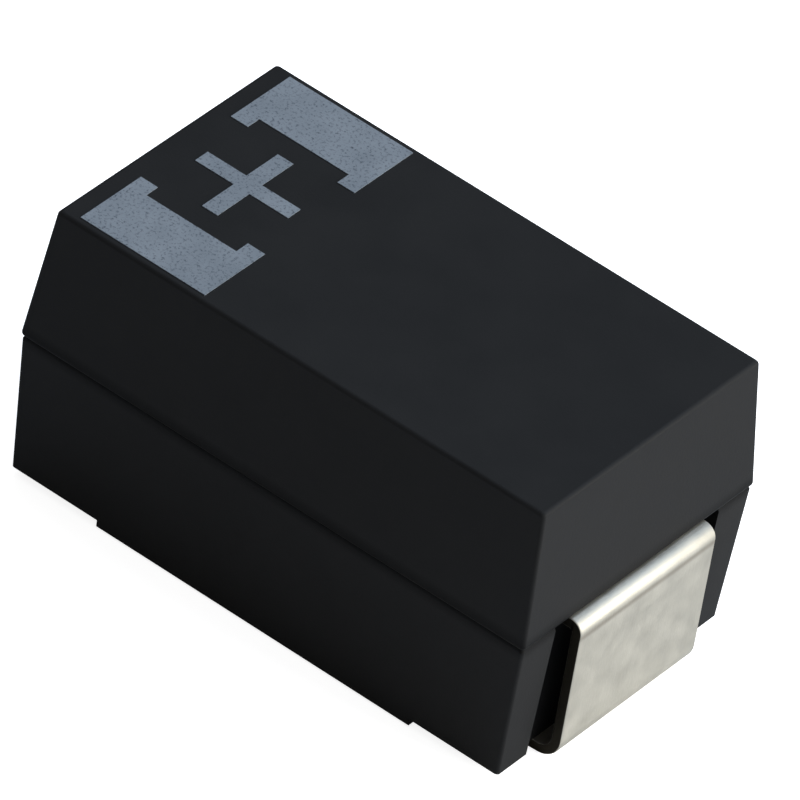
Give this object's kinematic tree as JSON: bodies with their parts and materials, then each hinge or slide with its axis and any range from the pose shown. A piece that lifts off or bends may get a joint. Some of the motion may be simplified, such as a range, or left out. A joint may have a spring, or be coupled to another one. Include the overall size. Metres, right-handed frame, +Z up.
{
  "type": "moulded tantalum chip capacitor",
  "caption": "Rectangular surface-mount tantalum capacitor: drafted black epoxy case, folded tin-plated end terminals and a plus mark at the anode end.",
  "frame": {"origin": "centre of the part's footprint, on the board plane that the two feet stand on", "axes": "+X along the case from the anode end to the cathode end, +Y across the case, +Z up from the board"},
  "size_m": [0.0074, 0.0042, 0.0038],
  "materials": {
    "case_epoxy": "fine moulded matte",
    "tinned_lead": "matte tin plating",
    "sintered_tantalum": "porous sintered",
    "tantalum_wire": "drawn",
    "washer_fluoropolymer": "smooth",
    "solid_electrolyte": "granular",
    "carbon_paint": "matte",
    "silver_paint": "matte silver paint",
    "silver_glue": "cured paste",
    "mark_ink": "matte print"
  },
  "bodies": {
    "root": {"moulded_case": "case_epoxy", "anode_terminal": "tinned_lead", "cathode_terminal": "tinned_lead", "tantalum_pellet": "sintered_tantalum", "riser_wire": "tantalum_wire", "wire_washer": "washer_fluoropolymer", "electrolyte_coat": "solid_electrolyte", "carbon_coat": "carbon_paint", "silver_coat": "silver_paint", "silver_adhesive": "silver_glue", "polarity_mark": "mark_ink"}
  },
  "joints": []
}
